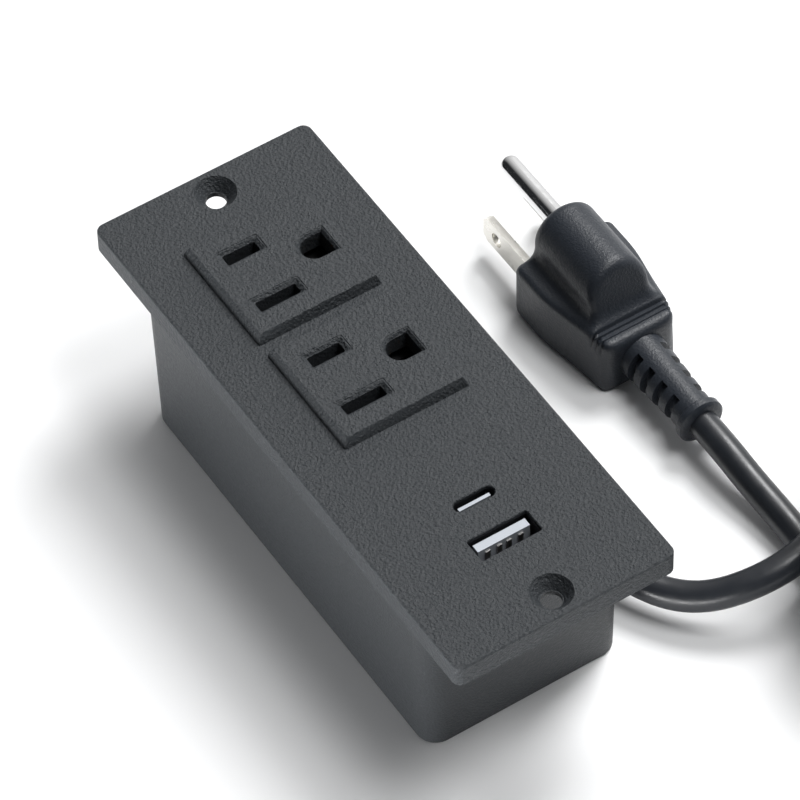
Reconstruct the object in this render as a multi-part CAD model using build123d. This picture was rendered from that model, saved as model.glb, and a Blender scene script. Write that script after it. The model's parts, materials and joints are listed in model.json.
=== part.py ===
from build123d import *
import math
import os

# Recessed desk power strip: two NEMA 5-15 outlets, one USB-C and one USB-A port in a flange plate
# over a box body, with a moulded three-core supply cord. Millimetres.
# Origin: centre of the body's bottom, on the surface it stands on. +Y runs along the strip, away
# from the USB end. +X is the side that the cord leaves from. +Z is up, out of the plate.

# ---- driving dimensions -------------------------------------------------------------------------
BLADE_PITCH = 12.7        # NEMA 5-15: blade centre to blade centre
GROUND_OFFSET = 11.9      # NEMA 5-15: blade line to ground pin centre

PLATE_W, PLATE_L, PLATE_T = 46.8, 122.4, 5.0
PLATE_CORNER_R = 1.9
TOP_Z = 41.6              # plate face above the surface
PLATE_Z = TOP_Z - PLATE_T  # plate underside, where the body starts
PLATE_SKIN = 2.4          # plate wall over the hollow of the body
REBATE = 0.2              # the body's rim sits this deep in a rebate in the plate's underside
BODY_TOP = PLATE_Z + REBATE

BODY_W, BODY_L = 42.1, 95.1   # body outside, at its bottom
BODY_CORNER_R = 4.1
DRAFT = 1.08              # degrees that the body's walls lean out towards the plate
WALL = 2.0

HOLE_PITCH = 111.7        # countersunk mounting holes, centre to centre
HOLE_R, SINK_R, SINK_DEPTH = 2.0, 4.08, 2.45
HOLE_LENGTH, HOLE_POCKET_R = 1.1, 4.2   # the bore below the cone, and the moulding pocket below that

OUTLET_Y = (33.2, 4.25)   # centre of each outlet
BOSS_X = 0.4
BOSS_W, BOSS_L, BOSS_H = 26.9, 26.5, 2.1
BOSS_CORNER_R = 0.6
BOSS_TAPER = 24.3         # degrees, the slope of the boss walls
SLOT_X = -4.55            # centre of the blade slots
LEAD_DEPTH = 0.75         # depth of the funnel at the mouth of each slot
EDGE = 0.15               # broken edge round every mouth
LINE_MOUTH, NEUTRAL_MOUTH = (8.95, 4.0), (10.65, 3.95)
LEAD_INSET_X, LEAD_INSET_Y = 1.0, 0.78
GROUND_X = SLOT_X + GROUND_OFFSET
GROUND_MOUTH_R, GROUND_FLAT = 3.25, 3.7   # round side, and the flat's distance from the centre
GROUND_INSET = 0.6

SHUTTER_TRAVEL = 3.2
SHUTTER_X0, SHUTTER_X1 = -9.9, 0.9
SHUTTER_Z0, SHUTTER_Z1 = 36.5, 38.7

CARRIER_Z0, CARRIER_Z1 = 16.0, 36.2
CARRIER_HALF_W = 12.2
BUS_Z0, BUS_T = 15.0, 0.8
COVER_Z0 = 12.6

USB_A = (0.0, -40.87)
USB_C = (0.1, -31.0)
BOARD_Z0, BOARD_T = 25.0, 1.6
BOARD_Z1 = BOARD_Z0 + BOARD_T
PORT_TOP = 40.7           # rim of the USB shells
TONGUE_TOP = 40.6

POST_X, POST_Y = 15.4, 42.2
POST_JOINT_Z = 29.8       # where the body's posts meet the plate's posts

GLAND_Y, GLAND_Z = 8.0, 8.0
CORD_D = 6.0
CORD_X, BOOT_END_Y = 26.5, -18.0   # the cord leaves the right-angle gland here, heading -Y

COIL_X, COIL_Y = 89.2, -74.5
COIL_MID_R = 30.0         # middle of the turns
COIL_COLUMNS, COIL_LAYERS = 2, 5

PLUG_X = 60.0
PLUG_FRONT_Y, PLUG_REAR_Y = 30.0, 2.5
PLUG_W, PLUG_REAR_W, PLUG_H = 22.0, 15.5, 13.5
PLUG_BLADE_Z = PLUG_H / 2
DOME_R = 6.7              # the round back over the ground pin
DOME_Z = PLUG_BLADE_Z + GROUND_OFFSET - 0.9
BLADE_LENGTH, PIN_LENGTH = 16.0, 19.2
PLUG_BOOT_END_Y = -17.5
BOOT_START_R, BOOT_END_R, BOOT_DISC_R, BOOT_DISC = 5.0, 3.9, 4.9, 2.2
BOOT_SLOTS, BOOT_PITCH, BOOT_SLOT = 4, 3.8, 1.8
PLUG_CORD_Z = 7.0


# ---- small helpers ------------------------------------------------------------------------------
def block(x0, x1, y0, y1, z0, z1):
    """A box between two corners."""
    return Pos(x0, y0, z0) * Box(x1 - x0, y1 - y0, z1 - z0, align=(Align.MIN,) * 3)


def rod(x, y, z0, z1, radius):
    """A vertical cylinder between two heights."""
    return Pos(x, y, z0) * Cylinder(radius, z1 - z0, align=(Align.CENTER, Align.CENTER, Align.MIN))


def prism(width, length, radius, z0, z1, x=0.0, y=0.0, taper=0.0):
    """A vertical prism with rounded corners; a positive taper leans its walls in going up."""
    return Pos(x, y, z0) * extrude(RectangleRounded(width, length, radius), z1 - z0, taper=taper)


def rod_between(start, end, radius):
    """A round bar between two points."""
    start, end = Vector(*start), Vector(*end)
    plane = Plane(origin=start, z_dir=end - start)
    return extrude(plane * Circle(radius), (end - start).length)


def yz_prism(points, x0, x1):
    """A profile of (y, z) points carried along X from x0 to x1."""
    face = make_face(Polyline(*[(x0, y, z) for y, z in points], close=True))
    return extrude(face, x1 - x0, dir=(1, 0, 0))


def frustum(width0, length0, width1, length1, z0, z1, x, y, radius=0.3):
    """A funnel between two upright rectangles of different size."""
    low = Pos(x, y, z0) * RectangleRounded(width0, length0, radius)
    high = Pos(x, y, z1) * RectangleRounded(width1, length1, radius)
    return loft([low, high])


def smooth_path(points):
    """Straight runs joined by tangent arcs, each as large as its two runs allow."""
    points = [Vector(*p) for p in points]
    radii = []
    for before, here, after in zip(points, points[1:], points[2:]):
        run_in, run_out = here - before, after - here
        half_turn = math.radians(run_in.get_angle(run_out)) / 2
        radii.append(0.45 * min(run_in.length, run_out.length) / math.tan(half_turn))
    return FilletPolyline(*points, radius=radii), radii


def tube(points, diameter, name=None):
    """A round cord along a smooth path; prints its bends and checks its volume when named."""
    path, radii = smooth_path(points)
    solid = sweep(Plane(origin=path @ 0, z_dir=path % 0) * Circle(diameter / 2), path=path)
    if name:
        expected = math.pi * diameter**2 / 4 * path.length
        print(f"{name}: length {path.length:.1f}, radii {[round(r, 1) for r in radii]},",
              f"volume ratio {solid.volume / expected:.4f}")
    return solid


# ---- plate --------------------------------------------------------------------------------------
def slot_cut(mouth, y, top):
    """A blade slot: a funnel at the boss face and a straight slot through what is under it."""
    inner = (mouth[0] - 2 * LEAD_INSET_X, mouth[1] - 2 * LEAD_INSET_Y)
    funnel = frustum(*inner, *mouth, top - LEAD_DEPTH, top + 0.001, SLOT_X, y)
    funnel += prism(*mouth, 0.3, top - EDGE, top + 0.01, SLOT_X, y, -45)
    return funnel + prism(*inner, 0.3, CARRIER_Z1 - 3, top - LEAD_DEPTH + 0.01, SLOT_X, y)


def d_shape(radius, flat):
    """The ground hole's outline: round on the -X side, flat on the +X side."""
    return Circle(radius) + Pos(flat / 2, 0) * Rectangle(flat, 2 * radius)


def ground_cut(y, top):
    """A ground hole: a funnel at the boss face and a straight hole through what is under it."""
    inner_r, inner_flat = GROUND_MOUTH_R - GROUND_INSET, GROUND_FLAT - GROUND_INSET
    mouth = Pos(GROUND_X, y, top + 0.001) * d_shape(GROUND_MOUTH_R, GROUND_FLAT)
    throat = Pos(GROUND_X, y, top - LEAD_DEPTH) * d_shape(inner_r, inner_flat)
    bore = Pos(GROUND_X, y, CARRIER_Z1 - 3) * d_shape(inner_r, inner_flat)
    edge = Pos(0, 0, -EDGE) * mouth
    cut = loft([throat, mouth]) + extrude(edge, EDGE + 0.01, taper=-45)
    return cut + extrude(bore, top - LEAD_DEPTH - CARRIER_Z1 + 3.01)


def outlet_cuts(y, top):
    """The three openings of one outlet."""
    line = slot_cut(LINE_MOUTH, y + BLADE_PITCH / 2, top)
    neutral = slot_cut(NEUTRAL_MOUTH, y - BLADE_PITCH / 2, top)
    return line + neutral + ground_cut(y, top)


def port_cuts():
    """The USB openings, each with a wider pocket behind it for the port's shell."""
    a_x, a_y = USB_A
    c_x, c_y = USB_C
    pocket_top = PORT_TOP + 0.05
    usb_a = prism(12.8, 5.2, 0.4, pocket_top - 0.01, TOP_Z + 1, a_x, a_y)
    usb_a += prism(12.8, 5.2, 0.4, TOP_Z - EDGE, TOP_Z + 0.01, a_x, a_y, -45)
    usb_a += prism(13.5, 6.2, 0.5, PLATE_Z, pocket_top, a_x, a_y)
    usb_c = prism(8.5, 2.5, 1.24, pocket_top - 0.01, TOP_Z + 1, c_x, c_y)
    usb_c += prism(8.5, 2.5, 1.24, TOP_Z - EDGE, TOP_Z + 0.01, c_x, c_y, -45)
    usb_c += prism(9.4, 3.6, 1.7, PLATE_Z, pocket_top, c_x, c_y)
    return usb_a + usb_c


def mounting_hole(y):
    """A countersunk screw hole through the plate's end, with a wide pocket under it."""
    cone_low = TOP_Z - SINK_DEPTH
    bore_low = cone_low - HOLE_LENGTH
    sink = Pos(0, y, cone_low) * Cone(HOLE_R + 0.15, SINK_R, SINK_DEPTH,
                                      align=(Align.CENTER, Align.CENTER, Align.MIN))
    bore = rod(0, y, bore_low - 0.01, cone_low + 0.01, HOLE_R)
    return sink + bore + rod(0, y, PLATE_Z - 1, bore_low, HOLE_POCKET_R)


def corners():
    """The four assembly screw places."""
    return [(sx * POST_X, sy * POST_Y) for sx in (-1, 1) for sy in (-1, 1)]


def make_faceplate():
    plate = prism(PLATE_W, PLATE_L, PLATE_CORNER_R, PLATE_Z, TOP_Z)
    plate = fillet(plate.edges().group_by(Axis.Z)[-1], 0.45)
    hollow_top = TOP_Z - PLATE_SKIN
    for y in OUTLET_Y:
        boss = prism(BOSS_W, BOSS_L, BOSS_CORNER_R, TOP_Z - 0.01, TOP_Z + BOSS_H, BOSS_X, y, BOSS_TAPER)
        plate += fillet(boss.edges().group_by(Axis.Z)[-1], 0.3)
    plate -= prism(BODY_W - 5.2, BODY_L - 4.6, 2.0, PLATE_Z, hollow_top)
    grown = 2 * PLATE_Z * math.tan(math.radians(DRAFT)) + 0.1
    plate -= prism(BODY_W + grown, BODY_L + grown, BODY_CORNER_R + grown / 2, PLATE_Z, BODY_TOP)
    inside_w, inside_l = BODY_W - 2 * WALL + 1.0, BODY_L - 2 * WALL + 1.0
    lip = prism(inside_w, inside_l, 3.0, PLATE_Z - 3.0, BODY_TOP)
    lip -= prism(inside_w - 2.4, inside_l - 2.4, 1.8, PLATE_Z - 3.0, BODY_TOP)
    plate += lip
    for x, y in corners():
        plate += rod(x, y, POST_JOINT_Z + 0.1, hollow_top, 3.0)
        plate -= rod(x, y, POST_JOINT_Z + 0.1, 38.0, 1.5)
    for y in OUTLET_Y:
        plate -= outlet_cuts(y, TOP_Z + BOSS_H)
    plate -= port_cuts()
    for sign in (-1, 1):
        plate -= mounting_hole(sign * HOLE_PITCH / 2)
    return plate


# ---- body ---------------------------------------------------------------------------------------
def make_housing():
    box = prism(BODY_W, BODY_L, BODY_CORNER_R, 0, BODY_TOP, taper=-DRAFT)
    box = fillet(box.edges().group_by(Axis.Z)[0], 0.5)
    cavity = prism(BODY_W - 2 * WALL, BODY_L - 2 * WALL, BODY_CORNER_R - WALL, WALL, BODY_TOP,
                   taper=-DRAFT)
    posts = [rod(x, y, WALL / 2, POST_JOINT_Z, 4.2) for x, y in corners()]
    posts += [rod(sx * 14.6, -16.4, WALL / 2, BOARD_Z0, 3.0) for sx in (-1, 1)]
    ribs = [block(-20.5, 20.5, y - 0.8, y + 0.8, WALL / 2, COVER_Z0) for y in (24.0, 37.0)]
    inside = cavity
    for piece in posts + ribs:
        inside -= piece
    shell = box - inside
    for x, y in corners():
        shell -= rod(x, y, -1, 22.0, 2.9) + rod(x, y, 21.9, POST_JOINT_Z + 1, 1.65)
    for sx in (-1, 1):
        shell -= rod(sx * 14.6, -16.4, 14.0, BOARD_Z0 + 1, 1.25)
    return shell - rod_between((15, GLAND_Y, GLAND_Z), (25, GLAND_Y, GLAND_Z), 4.5)


def pan_screw(x, y, seat_z, end_z, shank_r, head_r, head_h, drive_r):
    """A pan head screw on a vertical axis, with a cross recess; its point may be above its head."""
    up = 1 if end_z > seat_z else -1
    low, high = sorted((seat_z, end_z - up * 1.2))
    screw = rod(x, y, low, high, shank_r)
    base, tip = (shank_r, 0.4) if up > 0 else (0.4, shank_r)
    screw += Pos(x, y, high if up > 0 else end_z) * Cone(
        base, tip, 1.2, align=(Align.CENTER, Align.CENTER, Align.MIN))
    head_z = seat_z - up * head_h
    screw += rod(x, y, *sorted((seat_z, head_z)), head_r)
    for across, along in ((drive_r, 0.35), (0.35, drive_r)):
        cut_z = sorted((head_z, head_z + up * head_h * 0.6))
        screw -= block(x - across, x + across, y - along, y + along, *cut_z)
    return screw


def make_assembly_screws():
    return Compound([pan_screw(x, y, 22.0, 37.0, 1.5, 2.7, 2.2, 1.5) for x, y in corners()])


# ---- outlet contacts ----------------------------------------------------------------------------
def rails_and_stops(y):
    """The shutter's guide rails, its rest stop and its spring seat, on top of the carrier."""
    z0, z1 = CARRIER_Z1 - 0.5, 38.8
    left = block(SHUTTER_X0 - 1.3, SHUTTER_X0 - 0.3, y - 14.5, y + 9.4, z0, z1)
    right = block(SHUTTER_X1 + 0.3, SHUTTER_X1 + 1.3, y - 14.5, y + 9.4, z0, z1)
    rest_stop = block(SHUTTER_X0 - 1.3, SHUTTER_X1 + 1.3, y + 8.4, y + 9.4, z0, z1)
    seat = block(SHUTTER_X0 - 1.3, SHUTTER_X1 + 1.3, y - 14.5, y - 13.3, z0, z1)
    return left + right + rest_stop + seat


def make_contact_carrier():
    back_y, mid_y, front_y = OUTLET_Y[0] + 11.6, OUTLET_Y[0] + 4.4, OUTLET_Y[1] - 13.6
    carrier = block(-CARRIER_HALF_W, CARRIER_HALF_W, front_y, mid_y, CARRIER_Z0, CARRIER_Z1)
    carrier += block(-10.8, 10.6, mid_y - 1, back_y, CARRIER_Z0, CARRIER_Z1)
    roof = CARRIER_Z1 - 2.2
    for y in OUTLET_Y:
        carrier += rails_and_stops(y)
    for y in OUTLET_Y:
        for side in (-1, 1):
            blade_y = y + side * BLADE_PITCH / 2
            carrier -= block(-9.8, 0.9, blade_y - 2.4, blade_y + 2.4, CARRIER_Z0, roof)
        carrier -= rod(GROUND_X, y, CARRIER_Z0, roof, 3.6)
        carrier -= outlet_cuts(y, TOP_Z + BOSS_H)
    return carrier


def make_carrier_cover():
    back_y, mid_y, front_y = OUTLET_Y[0] + 11.6, OUTLET_Y[0] + 4.4, OUTLET_Y[1] - 13.6

    def outline(inset, z0, z1):
        wide = block(-CARRIER_HALF_W + inset, CARRIER_HALF_W - inset, front_y + inset,
                     mid_y - inset, z0, z1)
        return wide + block(-10.8 + inset, 10.6 - inset, mid_y - 1 - inset, back_y - inset, z0, z1)

    cover = outline(0, COVER_Z0, CARRIER_Z0) - outline(1.1, BUS_Z0, CARRIER_Z0)
    tails = [(-9.8, -5.4), (-3.8, 0.6), (5.2, 9.5)]
    for x0, x1 in tails:
        cover -= block(x0, x1, front_y - 1, front_y + 2, BUS_Z0, CARRIER_Z0)
    return cover


def blade_clip(x0, x1, riser_x0, riser_x1, y):
    """Two sprung leaves on a base, with flared mouths, on a riser from the bus strip."""
    base_z, top_z, leaf, gap = 17.4, 33.0, 0.6, 0.65
    clip = block(min(x0, riser_x0), max(x1, riser_x1), y - gap - leaf, y + gap + leaf, base_z,
                 base_z + leaf)
    for side in (-1, 1):
        inner, outer, flare = side * gap, side * (gap + leaf), side * 0.8
        clip += yz_prism([(y + inner, base_z), (y + outer, base_z), (y + outer, top_z - 2),
                          (y + outer + flare, top_z), (y + inner + flare, top_z),
                          (y + inner, top_z - 2)], x0, x1)
    riser = block(riser_x0, riser_x1, y - gap - leaf, y + gap + leaf, BUS_Z0 + BUS_T / 2, base_z + leaf)
    return clip + riser


def bus_strip(x0, x1, back_y):
    """The flat strip that links both outlets, with its wiring tail at the -Y end."""
    return block(x0, x1, OUTLET_Y[1] - 17.4, back_y, BUS_Z0, BUS_Z0 + BUS_T)


def make_line_bus():
    bus = bus_strip(-9.6, -5.6, OUTLET_Y[0] + BLADE_PITCH / 2 + 2.0)
    for y in OUTLET_Y:
        bus += blade_clip(-8.0, -1.0, -9.3, -8.7, y + BLADE_PITCH / 2)
    return bus


def make_neutral_bus():
    bus = bus_strip(-3.6, 0.4, OUTLET_Y[0] - BLADE_PITCH / 2 + 2.0)
    for y in OUTLET_Y:
        bus += blade_clip(-8.0, -1.0, -0.2, 0.4, y - BLADE_PITCH / 2)
    return bus


def make_ground_bus():
    bus = bus_strip(5.4, 9.3, OUTLET_Y[0] + 3.4)
    for y in OUTLET_Y:
        sleeve = rod(GROUND_X, y, BUS_Z0 + BUS_T / 2, 33.0, 3.0)
        sleeve -= rod(GROUND_X, y, BUS_Z0 + BUS_T + 1.0, 34.0, 2.45)
        sleeve -= block(GROUND_X - 0.4, GROUND_X + 0.4, y - 4, y + 4, 21.0, 34.0)
        bus += sleeve
    return bus


def make_shutter(y):
    """A sliding plate that covers both blade slots at rest, ramped so that blades push it open."""
    window_y0, window_y1 = y - 4.65, y - 1.65
    plate = block(SHUTTER_X0, SHUTTER_X1, y - 8.3, y + 8.05, SHUTTER_Z0, SHUTTER_Z1)
    plate -= block(SHUTTER_X0 + 0.9, SHUTTER_X1 - 0.9, window_y0, window_y1, SHUTTER_Z0 - 1,
                   SHUTTER_Z1 + 1)
    for ramp_y0, ramp_y1 in ((y - 7.7, window_y0), (y + 4.9, y + 8.05)):
        plate -= yz_prism([(ramp_y0, SHUTTER_Z1), (ramp_y1, SHUTTER_Z1), (ramp_y1, SHUTTER_Z1 - 1.4)],
                          SHUTTER_X0 + 0.9, SHUTTER_X1 - 0.9)
    return plate


def make_shutter_spring(y):
    wire_r, coil_r = 0.15, 0.8
    y0, y1 = y - 13.3 + wire_r + 0.03, y - 8.3 - wire_r - 0.03
    helix = Helix(pitch=(y1 - y0) / 6, height=y1 - y0, radius=coil_r)
    coil = sweep(Plane(origin=helix @ 0, z_dir=helix % 0) * Circle(wire_r), path=helix)
    x, z = (SHUTTER_X0 + SHUTTER_X1) / 2, (SHUTTER_Z0 + SHUTTER_Z1) / 2
    return Pos(x, y0, z) * Rot(-90, 0, 0) * coil


# ---- USB charger --------------------------------------------------------------------------------
def make_usb_board():
    board = block(-17.6, 17.6, -37.4, -13.4, BOARD_Z0, BOARD_Z1)
    board += block(-10.4, 10.4, -44.6, -37.3, BOARD_Z0, BOARD_Z1)
    for sx in (-1, 1):
        board -= rod(sx * 14.6, -16.4, BOARD_Z0 - 1, BOARD_Z1 + 1, 1.5)
    return board


def make_usb_board_screws():
    return Compound([pan_screw(sx * 14.6, -16.4, BOARD_Z1, 18.0, 1.25, 2.4, 1.6, 1.3)
                     for sx in (-1, 1)])


def make_usb_a():
    """The USB-A port: a folded steel shell, a tongue on its base, and four contacts."""
    x, y = USB_A
    shell = prism(13.1, 5.72, 0.5, BOARD_Z1, PORT_TOP, x, y)
    shell -= prism(12.5, 5.12, 0.3, BOARD_Z1, PORT_TOP, x, y)
    face_y, back_y = y + 0.09, y + 1.84
    tongue = prism(12.5, 5.12, 0.3, BOARD_Z1, 30.0, x, y)
    tongue += block(x - 5.55, x + 5.55, face_y, back_y, 29.5, TONGUE_TOP)
    strips = [block(x + dx - 0.5, x + dx + 0.5, face_y - 0.25, face_y, 30.0, TONGUE_TOP - 0.9)
              for dx in (-3.5, -1.0, 1.0, 3.5)]
    return shell, tongue, Compound(strips)


def make_usb_c():
    """The USB-C port: a seamless oval shell and its centre tongue."""
    x, y = USB_C
    shell = prism(8.94, 3.16, 1.57, BOARD_Z1, PORT_TOP, x, y)
    shell -= prism(8.34, 2.56, 1.27, BOARD_Z1, PORT_TOP, x, y)
    tongue = prism(8.34, 2.56, 1.27, BOARD_Z1, 34.5, x, y)
    tongue += block(x - 3.35, x + 3.35, y - 0.35, y + 0.35, 34.0, TONGUE_TOP)
    return shell, tongue


def make_transformer():
    """A small bobbin transformer: a ferrite core round a wound bobbin."""
    x, y, z1 = 1.5, -29.5, BOARD_Z0
    bobbin = prism(11.0, 9.0, 1.0, z1 - 12.0, z1 - 2.6, x, y)
    flanges = prism(12.0, 13.4, 0.8, z1 - 2.6, z1, x, y) + prism(12.0, 13.4, 0.8, z1 - 13.2, z1 - 12.0, x, y)
    core = block(x - 8.0, x + 8.0, y - 3.0, y + 3.0, z1 - 14.8, z1 - 0.6)
    core -= block(x - 6.0, x + 6.0, y - 3.0, y + 3.0, z1 - 13.2, z1 - 2.6)
    windings = bobbin + flanges
    return core - windings, windings - core


def upright_capacitor(x, y, radius, length):
    """A can capacitor hanging from the board, with the groove round its base and a vent cross."""
    can = rod(x, y, BOARD_Z0 - length, BOARD_Z0, radius)
    groove_z = BOARD_Z0 - 1.8
    can -= rod(x, y, groove_z, groove_z + 0.5, radius + 1) - rod(x, y, groove_z, groove_z + 0.5, radius - 0.3)
    end = BOARD_Z0 - length
    for across, along in ((radius * 0.6, 0.15), (0.15, radius * 0.6)):
        can -= block(x - across, x + across, y - along, y + along, end, end + 0.2)
    return can


def make_fuse():
    """A glass tube fuse with metal end caps, lying under the board."""
    y, z = -17.2, BOARD_Z0 - 2.5
    return rod_between((-5.0, y, z), (5.0, y, z), 1.6) + rod_between((-5.0, y, z), (-2.8, y, z), 1.9) \
        + rod_between((2.8, y, z), (5.0, y, z), 1.9)


def make_board_chips():
    """The rectifier under the board and the charge controller on top of it."""
    rectifier = block(-15.6, -10.6, -25.4, -20.8, BOARD_Z0 - 2.4, BOARD_Z0)
    controller = block(-14.0, -9.0, -31.0, -27.0, BOARD_Z1, BOARD_Z1 + 1.4)
    return Compound([rectifier, controller])


# ---- wiring and cord ----------------------------------------------------------------------------
WIRE_D = 2.0
TAIL_Y = OUTLET_Y[1] - 15.6


def core_wire(start_y, start_z, x, z):
    """One core from the cord's end, across the floor of the body and up to a bus tail."""
    start_y, start_z = start_y + GLAND_Y, start_z + GLAND_Z
    return tube([(15.4, start_y, start_z), (12.4, start_y, start_z), (x + 4.0, TAIL_Y + 9.0, z),
                 (x, TAIL_Y, z + 0.5), (x, TAIL_Y, BUS_Z0)], WIRE_D)


def board_lead(x):
    """A lead from a bus tail up to the underside of the USB board."""
    return tube([(x, TAIL_Y, BUS_Z0 + BUS_T), (x, TAIL_Y, 18.6), (x, -14.8, 22.0),
                 (x, -14.8, BOARD_Z0)], 1.4)


def make_gland():
    """The moulded right-angle strain relief: neck in the wall, flange, elbow and tapered boot."""
    y, z = GLAND_Y, GLAND_Z
    elbow = rod_between((21.4, y, z), (23.0, y, z), 6.4)
    elbow += rod_between((22.9, y, z), (CORD_X, y, z), 5.0)
    elbow += Pos(CORD_X, y, z) * Sphere(5.0)
    boot = Plane(origin=(CORD_X, y, z), z_dir=(0, -1, 0)) * Circle(5.0)
    end = Plane(origin=(CORD_X, BOOT_END_Y, z), z_dir=(0, -1, 0)) * Circle(4.0)
    wall = prism(BODY_W, BODY_L, BODY_CORNER_R, 0, PLATE_Z, taper=-DRAFT)
    outside = elbow + loft([boot, end]) - wall
    neck = rod_between((17.0, y, z), (23.0, y, z), 4.5)
    return outside + neck + rod_between((17.0, y, z), (18.6, y, z), 5.6)


def make_jacket_end():
    """The end of the cord's outer jacket, inside the body."""
    return rod_between((15.4, GLAND_Y, GLAND_Z), (17.0, GLAND_Y, GLAND_Z), CORD_D / 2)


def coil_radii():
    """Inner and outer radius of the coil's outside shape."""
    half = COIL_COLUMNS * CORD_D / 2
    return COIL_MID_R - half, COIL_MID_R + half


def on_coil(angle, z):
    """A point on the coil's outermost turn, at an angle about the coil's axis."""
    r = coil_radii()[1] - CORD_D / 2
    a = math.radians(angle)
    return COIL_X + r * math.cos(a), COIL_Y + r * math.sin(a), z


# The cord's route where it isn't coiled: from the gland, over the plug's own lead, to the coil's
# second layer, and from the coil's bottom layer to the plug.
ROUTE_TO_COIL = [
    (CORD_X, BOOT_END_Y, 8.0),
    (CORD_X, -26.0, 8.0),
    (27.6, -38.0, 6.0),
    (34.8, -50.4, 6.2),
    (47.6, -56.8, 11.2),
    (61.2, -55.0, 12.6),
    on_coil(121, 9.0),
]
ROUTE_TO_PLUG = [
    on_coil(162, 3.0),
    (60.7, -54.6, 3.0),
    (61.3, -43.5, 3.2),
    (60.4, -32.5, 5.2),
    (PLUG_X, -24.5, PLUG_CORD_Z),
    (PLUG_X, PLUG_BOOT_END_Y, PLUG_CORD_Z),
]


def make_coil():
    inner, outer = coil_radii()
    height = COIL_LAYERS * CORD_D
    ring = rod(COIL_X, COIL_Y, 0, height, outer) - rod(COIL_X, COIL_Y, 0, height, inner)
    return fillet(ring.edges(), CORD_D * 0.4)


def make_cable_tie():
    """A flat strap round the coil's bundle, with its ratchet head on top."""
    half_w, height, strap = COIL_COLUMNS * CORD_D / 2 + 0.4, COIL_LAYERS * CORD_D + 0.4, 1.0
    loop = block(-half_w - strap, half_w + strap, -1.8, 1.8, 0.02, height + strap)
    loop = fillet(loop.edges().filter_by(Axis.Y), 2.2)
    gap = block(-half_w, half_w, -1.8, 1.8, strap, height)
    loop -= fillet(gap.edges().filter_by(Axis.Y), 1.8)
    head = prism(5.6, 4.6, 0.8, height + strap - 0.2, height + strap + 3.0, -3.0)
    tail = block(-0.4, 9.0, -1.6, 1.6, height + strap + 0.9, height + strap + 1.8)
    a = math.radians(-60)
    place = Pos(COIL_X + COIL_MID_R * math.cos(a), COIL_Y + COIL_MID_R * math.sin(a), 0)
    return place * Rot(0, 0, -60) * (loop + head + tail)


# ---- plug ---------------------------------------------------------------------------------------
def make_plug_body():
    """The moulded plug: a tapered block, a dome round the ground pin, and a ribbed boot."""
    shoulder_y = PLUG_FRONT_Y - 9.5
    outline = [(-PLUG_W / 2, PLUG_FRONT_Y), (-PLUG_W / 2, shoulder_y), (-PLUG_REAR_W / 2, PLUG_REAR_Y),
               (PLUG_REAR_W / 2, PLUG_REAR_Y), (PLUG_W / 2, shoulder_y), (PLUG_W / 2, PLUG_FRONT_Y)]
    body = extrude(make_face(Polyline(*outline, close=True)), PLUG_H)
    dome = rod_between((0, PLUG_FRONT_Y, DOME_Z), (0, PLUG_REAR_Y + 2, DOME_Z), DOME_R)
    dome += block(-DOME_R, DOME_R, PLUG_REAR_Y + 2, PLUG_FRONT_Y, PLUG_H / 2, DOME_Z)
    foot_y, rise = PLUG_REAR_Y + 5.2, 12.0
    dome -= yz_prism([(foot_y, PLUG_H), (foot_y + 5.0, PLUG_H + rise), (foot_y - 9, PLUG_H + rise),
                      (foot_y - 9, 0), (foot_y, 0)], -20, 20)
    body += dome
    boot = Plane(origin=(0, PLUG_REAR_Y + 1, PLUG_CORD_Z), z_dir=(0, -1, 0)) * Circle(BOOT_START_R)
    neck_y = PLUG_BOOT_END_Y + BOOT_DISC
    neck = Plane(origin=(0, neck_y, PLUG_CORD_Z), z_dir=(0, -1, 0)) * Circle(BOOT_END_R)
    body += loft([boot, neck])
    body += rod_between((0, neck_y + 0.1, PLUG_CORD_Z), (0, PLUG_BOOT_END_Y, PLUG_CORD_Z), BOOT_DISC_R)
    for k in range(BOOT_SLOTS):
        slot_y = PLUG_REAR_Y - 2.2 - BOOT_PITCH * k
        for sx in (-1, 1):
            body -= block(*sorted((sx * 3.0, sx * 7.0)), slot_y - BOOT_SLOT, slot_y, 0, PLUG_H)
    return Pos(PLUG_X, 0, 0) * body


def make_plug_blade(sx):
    """A flat blade with its detent hole and chamfered tip."""
    x, z = sx * BLADE_PITCH / 2, PLUG_BLADE_Z
    y1 = PLUG_FRONT_Y + BLADE_LENGTH
    half_w = (6.35 if sx < 0 else 7.9) / 2
    blade = yz_prism([(PLUG_FRONT_Y, z - half_w), (y1 - 1.2, z - half_w), (y1, z - half_w + 1.2),
                      (y1, z + half_w - 1.2), (y1 - 1.2, z + half_w), (PLUG_FRONT_Y, z + half_w)],
                     x - 0.75, x + 0.75)
    blade -= rod_between((x - 2, y1 - 4.5, z), (x + 2, y1 - 4.5, z), 1.55)
    return Pos(PLUG_X, 0, 0) * blade


def make_plug_ground_pin():
    """A round pin with a domed tip."""
    z, r, y1 = PLUG_BLADE_Z + GROUND_OFFSET, 2.38, PLUG_FRONT_Y + PIN_LENGTH
    pin = rod_between((0, PLUG_FRONT_Y, z), (0, y1 - r, z), r) + Pos(0, y1 - r, z) * Sphere(r)
    return Pos(PLUG_X, 0, 0) * pin


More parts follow.
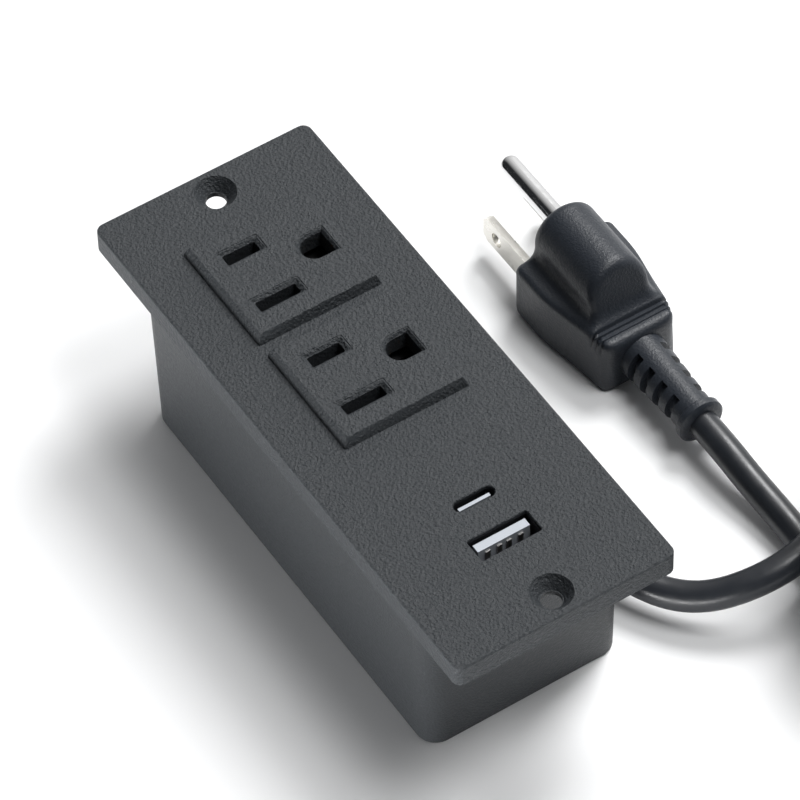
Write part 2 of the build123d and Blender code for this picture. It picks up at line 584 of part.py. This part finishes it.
# ---- the whole strip ----------------------------------------------------------------------------
def build():
    parts = {
        "faceplate": make_faceplate(),
        "housing": make_housing(),
        "assembly_screws": make_assembly_screws(),
        "contact_carrier": make_contact_carrier(),
        "carrier_cover": make_carrier_cover(),
        "line_bus": make_line_bus(),
        "neutral_bus": make_neutral_bus(),
        "ground_bus": make_ground_bus(),
        "usb_board": make_usb_board(),
        "usb_board_screws": make_usb_board_screws(),
        "usb_input_capacitor": upright_capacitor(-12.4, -32.4, 4.0, 13.0),
        "usb_output_capacitor": upright_capacitor(13.6, -33.0, 3.15, 9.0),
        "usb_board_chips": make_board_chips(),
        "usb_fuse": make_fuse(),
        "line_wire": core_wire(1.6, -1.0, -7.6, 5.0),
        "neutral_wire": core_wire(0.0, 1.6, -1.6, 9.6),
        "ground_wire": core_wire(-1.6, -1.0, 7.3, 7.0),
        "usb_line_lead": board_lead(-8.6),
        "usb_neutral_lead": board_lead(-0.6),
        "cord_gland": make_gland(),
        "cord_jacket_end": make_jacket_end(),
        "cord_strip_side": tube(ROUTE_TO_COIL, CORD_D, "cord_strip_side"),
        "cord_plug_side": tube(ROUTE_TO_PLUG, CORD_D, "cord_plug_side"),
        "cord_coil": make_coil(),
        "cable_tie": make_cable_tie(),
        "plug_body": make_plug_body(),
        "plug_line_blade": make_plug_blade(-1),
        "plug_neutral_blade": make_plug_blade(1),
        "plug_ground_pin": make_plug_ground_pin(),
    }
    parts["usb_a_shell"], parts["usb_a_tongue"], parts["usb_a_contacts"] = make_usb_a()
    parts["usb_c_shell"], parts["usb_c_tongue"] = make_usb_c()
    parts["usb_transformer_core"], parts["usb_transformer_windings"] = make_transformer()
    for name, y in zip(("rear", "front"), OUTLET_Y):
        parts[f"{name}_shutter"] = make_shutter(y)
        parts[f"{name}_shutter_spring"] = make_shutter_spring(y)
    return parts


os.makedirs("parts", exist_ok=True)
for node, shape in build().items():
    export_step(shape, f"parts/{node}.step")
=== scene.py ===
import json
import math

import bpy
import numpy as np
from mathutils import Matrix, Vector


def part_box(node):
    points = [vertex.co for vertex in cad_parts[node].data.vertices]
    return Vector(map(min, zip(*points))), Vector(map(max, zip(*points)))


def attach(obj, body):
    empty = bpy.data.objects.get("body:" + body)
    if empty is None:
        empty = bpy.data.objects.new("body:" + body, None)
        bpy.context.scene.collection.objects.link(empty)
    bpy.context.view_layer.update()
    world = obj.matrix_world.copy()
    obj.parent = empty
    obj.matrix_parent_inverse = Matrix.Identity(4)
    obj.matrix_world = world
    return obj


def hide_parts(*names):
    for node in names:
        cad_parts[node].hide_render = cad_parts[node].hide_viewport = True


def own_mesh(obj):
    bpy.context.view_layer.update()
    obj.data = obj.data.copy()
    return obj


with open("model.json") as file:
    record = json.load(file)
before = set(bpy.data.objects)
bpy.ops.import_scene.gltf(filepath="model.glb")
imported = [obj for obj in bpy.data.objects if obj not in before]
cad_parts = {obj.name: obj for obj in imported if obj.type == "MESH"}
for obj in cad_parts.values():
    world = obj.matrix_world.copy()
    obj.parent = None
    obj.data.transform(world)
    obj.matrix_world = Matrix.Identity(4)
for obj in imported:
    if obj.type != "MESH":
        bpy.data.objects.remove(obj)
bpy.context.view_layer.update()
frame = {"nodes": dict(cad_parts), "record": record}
MM = 0.001


# ---- camera, light and floor --------------------------------------------------------------------
CAMERA_AT = (-0.35533, -0.58206, 0.88896)
CAMERA_AZIMUTH, CAMERA_ELEVATION, CAMERA_ROLL = -31.717, 51.309, -1.751   # degrees
LENS_MM = 270.52


def make_camera():
    """The camera at the photograph's angle, with everything in focus."""
    data = bpy.data.cameras.new("camera")
    data.sensor_width, data.lens = 36.0, LENS_MM
    data.clip_start, data.clip_end = 0.05, 20.0
    camera = bpy.data.objects.new("camera", data)
    bpy.context.scene.collection.objects.link(camera)
    turn = Matrix.Rotation(math.radians(CAMERA_AZIMUTH), 4, "Z")
    tilt = Matrix.Rotation(math.radians(90 - CAMERA_ELEVATION), 4, "X")
    roll = Matrix.Rotation(math.radians(CAMERA_ROLL), 4, "Z")
    camera.matrix_world = Matrix.Translation(CAMERA_AT) @ turn @ tilt @ roll
    bpy.context.scene.camera = camera


def area_light(name, at, aim, size, power):
    """A soft rectangular lamp at one point, turned towards another."""
    data = bpy.data.lights.new(name, "AREA")
    data.shape, data.size, data.size_y, data.energy = "RECTANGLE", size[0], size[1], power
    lamp = bpy.data.objects.new(name, data)
    bpy.context.scene.collection.objects.link(lamp)
    lamp.location = at
    lamp.rotation_euler = (Vector(aim) - Vector(at)).to_track_quat("-Z", "Y").to_euler()
    return lamp


BRIGHT_SIDE = Vector((0.80, 0.30, 0.50))   # towards the brightest part of the studio
WORLD_STRENGTH = 0.95


def make_world():
    """A studio that is bright on the +X side and overhead, and dark on the -X side."""
    world = bpy.data.worlds.new("studio")
    bpy.context.scene.world = world
    world.use_nodes = True
    tree = world.node_tree
    tree.nodes.clear()
    out = tree.nodes.new("ShaderNodeOutputWorld")
    back = tree.nodes.new("ShaderNodeBackground")
    ramp = tree.nodes.new("ShaderNodeValToRGB")
    dot = tree.nodes.new("ShaderNodeVectorMath")
    where = tree.nodes.new("ShaderNodeTexCoord")
    dot.operation = "DOT_PRODUCT"
    dot.inputs[1].default_value = BRIGHT_SIDE.normalized()
    dark, bright = ramp.color_ramp.elements
    dark.position, dark.color = 0.15, (0.02, 0.021, 0.023, 1)
    bright.position, bright.color = 1.0, (1.0, 1.0, 1.0, 1)
    back.inputs["Strength"].default_value = WORLD_STRENGTH
    links = tree.links
    links.new(where.outputs["Generated"], dot.inputs[0])
    links.new(dot.outputs["Value"], ramp.inputs["Fac"])
    links.new(ramp.outputs["Color"], back.inputs["Color"])
    links.new(back.outputs["Background"], out.inputs["Surface"])


FLOOR_SIZE, FLOOR_STEPS = 6.0, 8
FLOOR_Z = -0.00005        # a hair below what stands on it, so that no two faces share a plane


def make_floor():
    """A plain pale paper floor, as a grid of squares."""
    mesh = bpy.data.meshes.new("floor")
    side = [FLOOR_SIZE * (i / FLOOR_STEPS - 0.5) for i in range(FLOOR_STEPS + 1)]
    points = [(x, y, FLOOR_Z) for y in side for x in side]
    row = FLOOR_STEPS + 1
    faces = [(j * row + i, j * row + i + 1, (j + 1) * row + i + 1, (j + 1) * row + i)
             for j in range(FLOOR_STEPS) for i in range(FLOOR_STEPS)]
    mesh.from_pydata(points, [], faces)
    floor = bpy.data.objects.new("floor", mesh)
    bpy.context.scene.collection.objects.link(floor)
    material = bpy.data.materials.new("floor_paper")
    material.use_nodes = True
    shader = material.node_tree.nodes["Principled BSDF"]
    shader.inputs["Base Color"].default_value = (0.86, 0.865, 0.87, 1)
    shader.inputs["Roughness"].default_value = 0.55
    mesh.materials.append(material)


make_camera()
make_world()
make_floor()
area_light("key", (0.98, 0.42, 1.45), (0.02, 0.0, 0.02), (0.65, 0.65), 27.0)
area_light("overhead", (0.40, -0.40, 1.50), (0.0, -0.10, 0.0), (0.6, 0.5), 11.0)
low = area_light("low_left", (-0.38, -0.13, 0.020), (0.0, -0.03, 0.024), (0.60, 0.03), 2.6)
low.visible_camera = False
bpy.context.scene.view_settings.view_transform = "Standard"


# ---- materials ----------------------------------------------------------------------------------
class Nodes:
    """A material's node tree, with short calls for the nodes that these materials are made of."""

    def __init__(self, name):
        self.material = bpy.data.materials.new(name)
        self.material.use_nodes = True
        self.tree = self.material.node_tree
        self.shader = self.tree.nodes["Principled BSDF"]
        self.where = self.tree.nodes.new("ShaderNodeTexCoord").outputs["Object"]

    def set(self, **sockets):
        for name, value in sockets.items():
            self.shader.inputs[name.replace("_", " ").title().replace("Ior", "IOR")].default_value = value

    def link(self, value, socket):
        if isinstance(value, bpy.types.NodeSocket):
            self.tree.links.new(value, socket)
        else:
            socket.default_value = value

    def noise(self, size, detail=2.0, stretch=None, rough=0.5):
        """Noise whose blobs are about size metres across, drawn out along an axis by stretch."""
        node = self.tree.nodes.new("ShaderNodeTexNoise")
        node.inputs["Scale"].default_value = 1 / size
        node.inputs["Detail"].default_value = detail
        node.inputs["Roughness"].default_value = rough
        where = self.where
        if stretch:
            scale = self.tree.nodes.new("ShaderNodeVectorMath")
            scale.operation = "MULTIPLY"
            scale.inputs[1].default_value = stretch
            self.tree.links.new(self.where, scale.inputs[0])
            where = scale.outputs["Vector"]
        self.tree.links.new(where, node.inputs["Vector"])
        return node.outputs["Fac"]

    def cells(self, size, smooth=0.6):
        """Rounded pebbles about size metres across."""
        node = self.tree.nodes.new("ShaderNodeTexVoronoi")
        node.feature = "SMOOTH_F1"
        node.inputs["Scale"].default_value = 1 / size
        node.inputs["Smoothness"].default_value = smooth
        self.tree.links.new(self.where, node.inputs["Vector"])
        return node.outputs["Distance"]

    def math(self, operation, a, b):
        """One arithmetic step between two values or sockets."""
        node = self.tree.nodes.new("ShaderNodeMath")
        node.operation = operation
        self.link(a, node.inputs[0])
        self.link(b, node.inputs[1])
        return node.outputs["Value"]

    def spread(self, value, low, high):
        """Maps 0.3..0.7 of a noise to low..high."""
        node = self.tree.nodes.new("ShaderNodeMapRange")
        node.inputs["From Min"].default_value, node.inputs["From Max"].default_value = 0.3, 0.7
        node.inputs["To Min"].default_value, node.inputs["To Max"].default_value = low, high
        self.tree.links.new(value, node.inputs["Value"])
        return node.outputs["Result"]

    def blend(self, fac, colour_a, colour_b):
        """The first colour where fac is 0, the second where it is 1."""
        node = self.tree.nodes.new("ShaderNodeMix")
        node.data_type = "RGBA"
        self.link(fac, node.inputs["Factor"])
        self.link((*colour_a, 1), node.inputs["A"])
        self.link((*colour_b, 1), node.inputs["B"])
        return node.outputs["Result"]

    def bump(self, height, depth, strength=1.0):
        """Relief of about depth metres."""
        node = self.tree.nodes.new("ShaderNodeBump")
        node.inputs["Strength"].default_value = strength
        node.inputs["Distance"].default_value = depth
        self.tree.links.new(height, node.inputs["Height"])
        self.tree.links.new(node.outputs["Normal"], self.shader.inputs["Normal"])

    def colour(self, value):
        self.tree.links.new(value, self.shader.inputs["Base Color"])

    def roughness(self, value):
        self.tree.links.new(value, self.shader.inputs["Roughness"])


def shade(colour, factor):
    """A colour made darker or lighter."""
    return tuple(min(1.0, c * factor) for c in colour)


def grained_plastic(name, colour, rough, grain, depth, mottle=0.25):
    """Moulded plastic with a leather-like grain of pebbles."""
    n = Nodes(name)
    fine = n.noise(grain * 0.45, 2.0)
    height = n.math("ADD", n.cells(grain), n.math("MULTIPLY", fine, 1.1))
    n.bump(height, depth)
    n.colour(n.blend(fine, shade(colour, 1 - mottle), shade(colour, 1 + mottle)))
    n.roughness(n.spread(n.noise(grain * 1.5, 2.0), rough - 0.05, rough + 0.05))
    n.set(specular_ior_level=0.35)
    return n.material


def satin_plastic(name, colour, rough, grain=0.00035, depth=0.000012):
    """Smooth moulded plastic or rubber with a faint texture."""
    n = Nodes(name)
    n.bump(n.noise(grain, 3.0), depth)
    n.colour(n.blend(n.noise(0.004, 3.0), shade(colour, 0.88), shade(colour, 1.12)))
    n.roughness(n.spread(n.noise(0.003, 3.0), rough - 0.06, rough + 0.06))
    return n.material


def drawn_metal(name, colour, rough, stretch=(1, 1, 0.04), depth=0.000004, size=0.00025):
    """Metal with fine lines along one axis."""
    n = Nodes(name)
    n.set(metallic=1.0)
    lines = n.noise(size, 2.0, stretch)
    n.bump(lines, depth)
    n.colour(n.blend(lines, shade(colour, 0.9), shade(colour, 1.06)))
    n.roughness(n.spread(n.noise(0.002, 3.0), rough - 0.05, rough + 0.06))
    return n.material


def board_laminate(name):
    """Green solder mask over copper tracks."""
    n = Nodes(name)
    tracks = n.math("GREATER_THAN", n.noise(0.0022, 0.0, (1, 0.25, 1)), 0.54)
    n.colour(n.blend(tracks, (0.012, 0.10, 0.045), (0.025, 0.19, 0.08)))
    n.bump(tracks, 0.00003, 0.6)
    n.roughness(n.spread(n.noise(0.003), 0.28, 0.42))
    return n.material


def winding_tape(name):
    """Yellow tape in overlapping layers."""
    n = Nodes(name)
    layers = n.noise(0.0012, 1.0, (0.05, 0.05, 1))
    n.colour(n.blend(layers, (0.62, 0.44, 0.06), (0.85, 0.66, 0.12)))
    n.bump(layers, 0.00005)
    n.roughness(n.spread(n.noise(0.002), 0.32, 0.48))
    return n.material


def fuse_glass(name):
    """Clear glass, faintly uneven."""
    n = Nodes(name)
    n.colour(n.blend(n.noise(0.004), (0.80, 0.84, 0.82), (0.92, 0.95, 0.93)))
    n.set(transmission_weight=0.8)
    n.roughness(n.spread(n.noise(0.002), 0.04, 0.12))
    n.bump(n.noise(0.002), 0.00001)
    return n.material


def make_materials():
    """The material of each slot that the CAD names."""
    brass, steel, nickel = (0.78, 0.56, 0.24), (0.60, 0.61, 0.63), (0.78, 0.76, 0.71)
    return {
        "plate_plastic": grained_plastic("plate_plastic", (0.029, 0.033, 0.037), 0.50, 0.00060, 0.00022),
        "body_plastic": grained_plastic("body_plastic", (0.026, 0.029, 0.032), 0.44, 0.00045, 0.00007),
        "screw_steel": drawn_metal("screw_steel", steel, 0.34),
        "carrier_plastic": satin_plastic("carrier_plastic", (0.022, 0.022, 0.024), 0.5),
        "contact_brass": drawn_metal("contact_brass", brass, 0.36),
        "shutter_plastic": satin_plastic("shutter_plastic", (0.012, 0.012, 0.014), 0.42),
        "spring_steel": drawn_metal("spring_steel", steel, 0.25),
        "board_laminate": board_laminate("board_laminate"),
        "capacitor_sleeve": satin_plastic("capacitor_sleeve", (0.02, 0.022, 0.045), 0.3),
        "chip_epoxy": satin_plastic("chip_epoxy", (0.018, 0.018, 0.019), 0.6),
        "ferrite": satin_plastic("ferrite", (0.05, 0.05, 0.055), 0.7, 0.0003, 0.00003),
        "winding_tape": winding_tape("winding_tape"),
        "fuse_glass": fuse_glass("fuse_glass"),
        # the port shells' near-black colour is painted shade: metal shells darkened to stand in for the
        # dark seen inside the openings
        "port_steel": drawn_metal("port_steel", (0.05, 0.05, 0.055), 0.45),
        "tongue_plastic": satin_plastic("tongue_plastic", (0.40, 0.43, 0.47), 0.42),
        "contact_gold": drawn_metal("contact_gold", (0.86, 0.84, 0.80), 0.3),
        "wire_black": satin_plastic("wire_black", (0.015, 0.015, 0.017), 0.38),
        "wire_white": satin_plastic("wire_white", (0.75, 0.75, 0.72), 0.38),
        "wire_green": satin_plastic("wire_green", (0.03, 0.28, 0.08), 0.38),
        "cord_pvc": satin_plastic("cord_pvc", (0.014, 0.016, 0.020), 0.34, 0.0004, 0.00002),
        "tie_nylon": satin_plastic("tie_nylon", (0.02, 0.02, 0.022), 0.4),
        "plug_pvc": grained_plastic("plug_pvc", (0.020, 0.024, 0.031), 0.40, 0.0005, 0.00005),
        "blade_nickel": drawn_metal("blade_nickel", nickel, 0.32, (1, 0.04, 1)),
        "pin_nickel": drawn_metal("pin_nickel", (0.86, 0.86, 0.86), 0.12, (1, 0.04, 1), 0.000001),
    }


MATERIALS = make_materials()

# the CAD's own nodes keep their shapes and take their slot's material
for part in frame["record"]["subparts"]:
    skin = frame["nodes"][part["node"]].data
    skin.materials.clear()
    skin.materials.append(MATERIALS[part["material_slot"]])


def new_piece(name, data, slot, *replaced):
    """A new piece on the root body, with the finish of a slot."""
    piece = bpy.data.objects.new(name, data)
    bpy.context.scene.collection.objects.link(piece)
    data.materials.append(MATERIALS[slot])
    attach(piece, "root")
    if replaced:
        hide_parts(*replaced)
    return piece


# ---- cord ---------------------------------------------------------------------------------------
CORD_D = 6.0
CORD_X, BOOT_END_Y = 26.5, -18.0
PLUG_X, PLUG_BOOT_END_Y, PLUG_CORD_Z = 60.0, -17.5, 7.0
COIL_X, COIL_Y, COIL_MID_R = 89.2, -74.5, 30.0
COIL_COLUMNS, COIL_LAYERS = 2, 5
COIL_IN_ANGLE, COIL_OUT_ANGLE = 121, 162   # degrees, where the cord joins and leaves the coil
POINTS_PER_TURN = 24
JOG = 0.3                # share of a turn over which the cord moves to its next place
JOG_START = 0.66         # share of a turn before the first of those moves
CORNER_LEAD = 0.31       # share of a turn by which the moves start sooner after each corner
LAST_LEAD = 0.17         # less for the last one, because the cord's end leaves the coil first
LIFT, LIFT_ANGLE, LIFT_SPREAD = 3.5, 142, 26   # the upper turns rise over the incoming lead


def coil_places():
    """Where each turn lies in the bundle: up the outside from its second layer, down the inside."""
    inner, outer = COIL_MID_R - CORD_D / 2, COIL_MID_R + CORD_D / 2
    heights = [CORD_D * (k + 0.5) for k in range(COIL_LAYERS)]
    up = [(outer, z) for z in heights[1:]]
    down = [(inner, z) for z in reversed(heights)]
    return up + down + [(outer, heights[0])]


def coil_points():
    """The coil's turns, clockwise from above, each easing into the next one's place."""
    places = coil_places()
    last = len(places) - 1
    # a turn leaves its place before the turn behind it moves in
    corners = ((COIL_LAYERS - 2, CORNER_LEAD), (COIL_LAYERS - 1, CORNER_LEAD), (last - 1, LAST_LEAD))
    starts = []
    for k in range(last):
        phase = JOG_START
        for corner, lead in corners:
            if k >= corner:
                phase -= lead
        starts.append(k + phase)
    turns = last - (COIL_OUT_ANGLE - COIL_IN_ANGLE) / 360
    points = []
    for i in range(int(turns * POINTS_PER_TURN) + 1):
        t = i / POINTS_PER_TURN
        r, z = places[0]
        for (r0, z0), (r1, z1), start in zip(places, places[1:], starts):
            s = min(1.0, max(0.0, (t - start) / JOG))
            s = s * s * (3 - 2 * s)
            r, z = r + (r1 - r0) * s, z + (z1 - z0) * s
        angle = COIL_IN_ANGLE - 360 * t
        off = (angle - LIFT_ANGLE + 180) % 360 - 180
        above_lead = min(1.0, max(0.0, (z - CORD_D * 1.5) / CORD_D))
        z += LIFT * math.exp(-(off / LIFT_SPREAD) ** 2) * above_lead
        a = math.radians(angle)
        points.append((COIL_X + r * math.cos(a), COIL_Y + r * math.sin(a), z))
    return points


def on_coil(angle, z):
    """A point on the coil's outer column."""
    r, a = COIL_MID_R + (COIL_COLUMNS - 1) * CORD_D / 2, math.radians(angle)
    return COIL_X + r * math.cos(a), COIL_Y + r * math.sin(a), z


ROUTE_TO_COIL = [
    (CORD_X, BOOT_END_Y, 8.0),
    (CORD_X, -26.0, 8.0),
    (27.6, -38.0, 6.0),
    (34.8, -50.4, 6.2),
    (47.6, -56.8, 11.2),
    (61.2, -55.0, 12.6),
]
ROUTE_TO_PLUG = [
    on_coil(COIL_OUT_ANGLE, CORD_D / 2),
    (60.7, -54.6, 3.0),
    (61.3, -43.5, 3.2),
    (60.4, -32.5, 5.2),
    (PLUG_X, -24.5, PLUG_CORD_Z),
    (PLUG_X, PLUG_BOOT_END_Y, PLUG_CORD_Z),
]


def make_cord():
    """The whole cord as one spline: strip, coil, plug."""
    curve = bpy.data.curves.new("cord", "CURVE")
    curve.dimensions = "3D"
    curve.resolution_u, curve.bevel_depth, curve.bevel_resolution = 10, CORD_D / 2 * MM, 8
    curve.use_fill_caps = True
    spline = curve.splines.new("NURBS")
    route = ROUTE_TO_COIL + coil_points() + ROUTE_TO_PLUG
    spline.points.add(len(route) - 1)
    for point, (x, y, z) in zip(spline.points, route):
        point.co = (x * MM, y * MM, z * MM, 1)
    spline.order_u = 3
    spline.use_endpoint_u = True
    cord = new_piece("cord", curve, "cord_pvc", "cord_strip_side", "cord_plug_side", "cord_coil")


# ---- plug ---------------------------------------------------------------------------------------
BLADE_PITCH, GROUND_OFFSET = 12.7, 11.9
PLUG_FRONT_Y, PLUG_REAR_Y = 30.0, 2.5
PLUG_W, PLUG_REAR_W, PLUG_H = 22.0, 15.5, 13.5
SHOULDER_Y = PLUG_FRONT_Y - 9.5
DOME_R, DOME_Z = 6.7, PLUG_H / 2 + GROUND_OFFSET - 0.9
SLOPE_FOOT_Y, SLOPE_RUN, SLOPE_RISE = PLUG_REAR_Y + 5.6, 4.0, 11.5
GROOVES_Y = [PLUG_REAR_Y + past for past in (2.2, 3.3, 4.4)]
GROOVE_DEPTH, GROOVE_HALF_W = 0.45, 0.24
DOME_FLOOR_Z = 2.0        # the dome ends inside the body, this far above its underside
# how far two surfaces run into each other where they meet
SIDE_EASE, EDGE_EASE, SLOPE_EASE, DOME_FOOT_EASE = 0.5, 1.6, 1.8, 1.0
DOME_EASE, FRONT_EASE, REAR_EASE = 3.4, 2.0, 2.4


def soft_min(a, b, reach):
    """The smaller of two distances, rounded off where they are within reach of each other."""
    h = np.clip(reach - np.abs(a - b), 0, None) / reach
    return np.minimum(a, b) - h * h * reach / 4


def soft_max(a, b, reach):
    return -soft_min(-a, -b, reach)


def plug_distance(p):
    """Roughly how far points are outside the plug's moulded body, in millimetres."""
    x, y, z = np.abs(p[:, 0]), p[:, 1], p[:, 2]
    run, narrow = SHOULDER_Y - PLUG_REAR_Y, (PLUG_W - PLUG_REAR_W) / 2
    taper = ((x - PLUG_W / 2) * run - (y - SHOULDER_Y) * narrow) / math.hypot(run, narrow)
    side = soft_max(x - PLUG_W / 2, taper, SIDE_EASE)
    box = soft_max(side, np.abs(z - PLUG_H / 2) - PLUG_H / 2, EDGE_EASE)
    dome = np.hypot(x, np.clip(z - DOME_Z, 0, None)) - DOME_R
    slope = ((SLOPE_FOOT_Y - y) * SLOPE_RISE + (z - PLUG_H) * SLOPE_RUN) / math.hypot(SLOPE_RUN, SLOPE_RISE)
    dome = soft_max(dome, slope, SLOPE_EASE)
    dome = soft_max(dome, DOME_FLOOR_Z - z, DOME_FOOT_EASE)
    body = soft_min(box, dome, DOME_EASE)
    body = soft_max(body, y - PLUG_FRONT_Y, FRONT_EASE)
    body = soft_max(body, PLUG_REAR_Y - y, REAR_EASE)
    on_top = np.clip((z - PLUG_H + 3) / 1.5, 0, 1)      # the grooves fade out down the sides
    for groove in GROOVES_Y:
        body += GROOVE_DEPTH * np.exp(-((y - groove) / GROOVE_HALF_W) ** 2) * on_top
    return body


def box_shell(low, high, steps):
    """The points and faces of a box's surface as a fine grid, without doubled points."""
    counts = [max(2, int(round((b - a) / s))) for a, b, s in zip(low, high, steps)]
    index, points, faces = {}, [], []

    def number(key):
        if key not in index:
            index[key] = len(points)
            points.append([a + (b - a) * k / n for a, b, k, n in zip(low, high, key, counts)])
        return index[key]

    for axis in range(3):
        u, v = (axis + 1) % 3, (axis + 2) % 3
        for end in (0, counts[axis]):
            for i in range(counts[u]):
                for j in range(counts[v]):
                    ring = []
                    for di, dj in ((0, 0), (1, 0), (1, 1), (0, 1)):
                        key = [0, 0, 0]
                        key[axis], key[u], key[v] = end, i + di, j + dj
                        ring.append(number(tuple(key)))
                    faces.append(ring if end else ring[::-1])
    return np.array(points), faces


RAY_REACH, HALVINGS = 1.3, 40     # rays go past the box; each search halves its interval


def carve(distance, low, high, steps, centre):
    """Draws a fine box in along rays from a centre, onto the surface of a distance function."""
    points, faces = box_shell(low, high, steps)
    rays = points - centre
    near, far = np.zeros(len(points)), np.ones(len(points)) * RAY_REACH
    for _ in range(HALVINGS):
        middle = (near + far) / 2
        outside = distance(centre + rays * middle[:, None]) > 0
        far = np.where(outside, middle, far)
        near = np.where(outside, near, middle)
    return centre + rays * near[:, None], faces


def mesh_of(name, points, faces, shift=(0, 0, 0), sharp_angle=35):
    """A mesh in metres from points in millimetres, smooth but for its sharp edges."""
    mesh = bpy.data.meshes.new(name)
    mesh.from_pydata([tuple((np.array(p) + shift) * MM) for p in points], [], faces)
    mesh.shade_smooth()
    mesh.set_sharp_from_angle(angle=math.radians(sharp_angle))
    return mesh


PLUG_HEART = (0.0, 15.0, 8.5)     # inside the body, with a clear line to all of its surface
SHELL_STEPS = (0.35, 0.2, 0.35)   # size of the grid that the body is carved from


def make_plug_shell():
    """The plug's moulded body, with its domed ground-pin housing and its grip grooves."""
    low = (-PLUG_W / 2, PLUG_REAR_Y, 0.0)
    high = (PLUG_W / 2, PLUG_FRONT_Y, DOME_Z + DOME_R)
    points, faces = carve(plug_distance, low, high, SHELL_STEPS, np.array(PLUG_HEART))
    mesh = mesh_of("plug_shell", points, faces, (PLUG_X, 0, 0), 60)
    return new_piece("plug_shell", mesh, "plug_pvc", "plug_body")


def turned(stations, radius, around=72):
    """A closed solid along Y: radius(y, angle) at each station, with its two ends closed."""
    points, faces = [], []
    for y in stations:
        for k in range(around):
            a = 2 * math.pi * k / around
            r = radius(y, a)
            points.append((r * math.cos(a), y, r * math.sin(a)))
    for i in range(len(stations) - 1):
        for k in range(around):
            a, b = i * around + k, i * around + (k + 1) % around
            faces.append((a, b, b + around, a + around))
    for end, flip in ((0, False), (len(stations) - 1, True)):
        ring = list(range(end * around, (end + 1) * around))
        faces.append(ring if flip else ring[::-1])
    return points, faces


BOOT_START_R, BOOT_END_R, BOOT_DISC_R, BOOT_DISC = 5.0, 3.9, 4.9, 2.2
BOOT_SLOTS, BOOT_PITCH, BOOT_SLOT = 4, 3.8, 1.8
BOOT_FIRST_SLOT = 2.2     # plug's rear face to the first slot
BOOT_CORE_R = 3.1         # what is left at the bottom of a slot
BOOT_SLOT_SPAN = 0.55     # a slot is cut where |cos(angle)| is more than this
BOOT_BURIED = 1.5         # length of the boot inside the plug's body
STEP = 0.02               # length over which the radius jumps


def boot_radius(y, angle):
    """The plug's strain relief: a taper with slots on both sides and a disc at its end."""
    along = (PLUG_REAR_Y - y) / (PLUG_REAR_Y - PLUG_BOOT_END_Y)
    if y < PLUG_BOOT_END_Y + BOOT_DISC:
        past = PLUG_BOOT_END_Y + BOOT_DISC - y
        near_edge = 0.5 * max(0.0, 0.4 - past) / 0.4                  # chamfer towards the plug
        far_edge = 0.6 * max(0.0, past - BOOT_DISC + 0.5) / 0.5       # chamfer towards the cord
        return BOOT_DISC_R - near_edge - far_edge
    r = BOOT_START_R + (BOOT_END_R - BOOT_START_R) * along
    for k in range(BOOT_SLOTS):
        top = PLUG_REAR_Y - BOOT_FIRST_SLOT - BOOT_PITCH * k
        if top - BOOT_SLOT <= y <= top and abs(math.cos(angle)) > BOOT_SLOT_SPAN:
            return BOOT_CORE_R
    return r


def make_plug_boot():
    """The plug's strain relief, with a station wherever its radius changes."""
    stations = [PLUG_REAR_Y + BOOT_BURIED]
    for k in range(BOOT_SLOTS):
        top = PLUG_REAR_Y - BOOT_FIRST_SLOT - BOOT_PITCH * k
        stations += [top + STEP, top, top - BOOT_SLOT, top - BOOT_SLOT - STEP]
    disc = PLUG_BOOT_END_Y + BOOT_DISC
    stations += [disc + STEP, disc - 0.001, disc - 0.2, disc - 0.4, PLUG_BOOT_END_Y + 0.5,
                 PLUG_BOOT_END_Y + 0.25, PLUG_BOOT_END_Y]
    points, faces = turned(stations, boot_radius, 96)
    mesh = mesh_of("plug_boot", points, faces, (PLUG_X, 0, PLUG_CORD_Z), 40)
    return new_piece("plug_boot", mesh, "plug_pvc", "plug_body")


# ---- shutter springs ----------------------------------------------------------------------------
SPRING_TURNS, SPRING_WIRE_R = 6, 0.15
WIRE_SIDES, WIRE_STEPS = 10, 28          # round the wire, and along each turn


def make_spring(name):
    """A compression spring along Y, built once to fill the box of its CAD node."""
    low, high = (np.array(corner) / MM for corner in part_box(f"{name}_shutter_spring"))
    centre = (low + high) / 2
    coil_r = (high[0] - low[0]) / 2 - SPRING_WIRE_R
    y0, rise = low[1] + SPRING_WIRE_R, high[1] - low[1] - 2 * SPRING_WIRE_R
    along = np.array([0, 1, 0])
    count = SPRING_TURNS * WIRE_STEPS
    points, faces = [], []
    for i in range(count + 1):
        a = 2 * math.pi * i / WIRE_STEPS
        out = np.array([math.cos(a), 0.0, math.sin(a)])
        middle = np.array([centre[0], y0 + rise * i / count, centre[2]]) + out * coil_r
        for k in range(WIRE_SIDES):
            b = 2 * math.pi * k / WIRE_SIDES
            points.append(middle + SPRING_WIRE_R * (math.cos(b) * out + math.sin(b) * along))
    for i in range(count):
        for k in range(WIRE_SIDES):
            a, b = i * WIRE_SIDES + k, i * WIRE_SIDES + (k + 1) % WIRE_SIDES
            faces.append((a, b, b + WIRE_SIDES, a + WIRE_SIDES))
    faces.append(tuple(range(WIRE_SIDES))[::-1])
    faces.append(tuple(range(count * WIRE_SIDES, (count + 1) * WIRE_SIDES)))
    mesh = mesh_of(f"{name}_spring", points, faces)
    spring = new_piece(f"{name}_spring", mesh, "spring_steel", f"{name}_shutter_spring")
    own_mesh(spring)


for outlet in ("rear", "front"):
    make_spring(outlet)

CORD_NODES = ("cord_gland", "plug_line_blade", "plug_neutral_blade", "plug_ground_pin", "cable_tie")
cord_pieces = [make_plug_shell(), make_plug_boot()] + [frame["nodes"][name] for name in CORD_NODES]
make_cord()
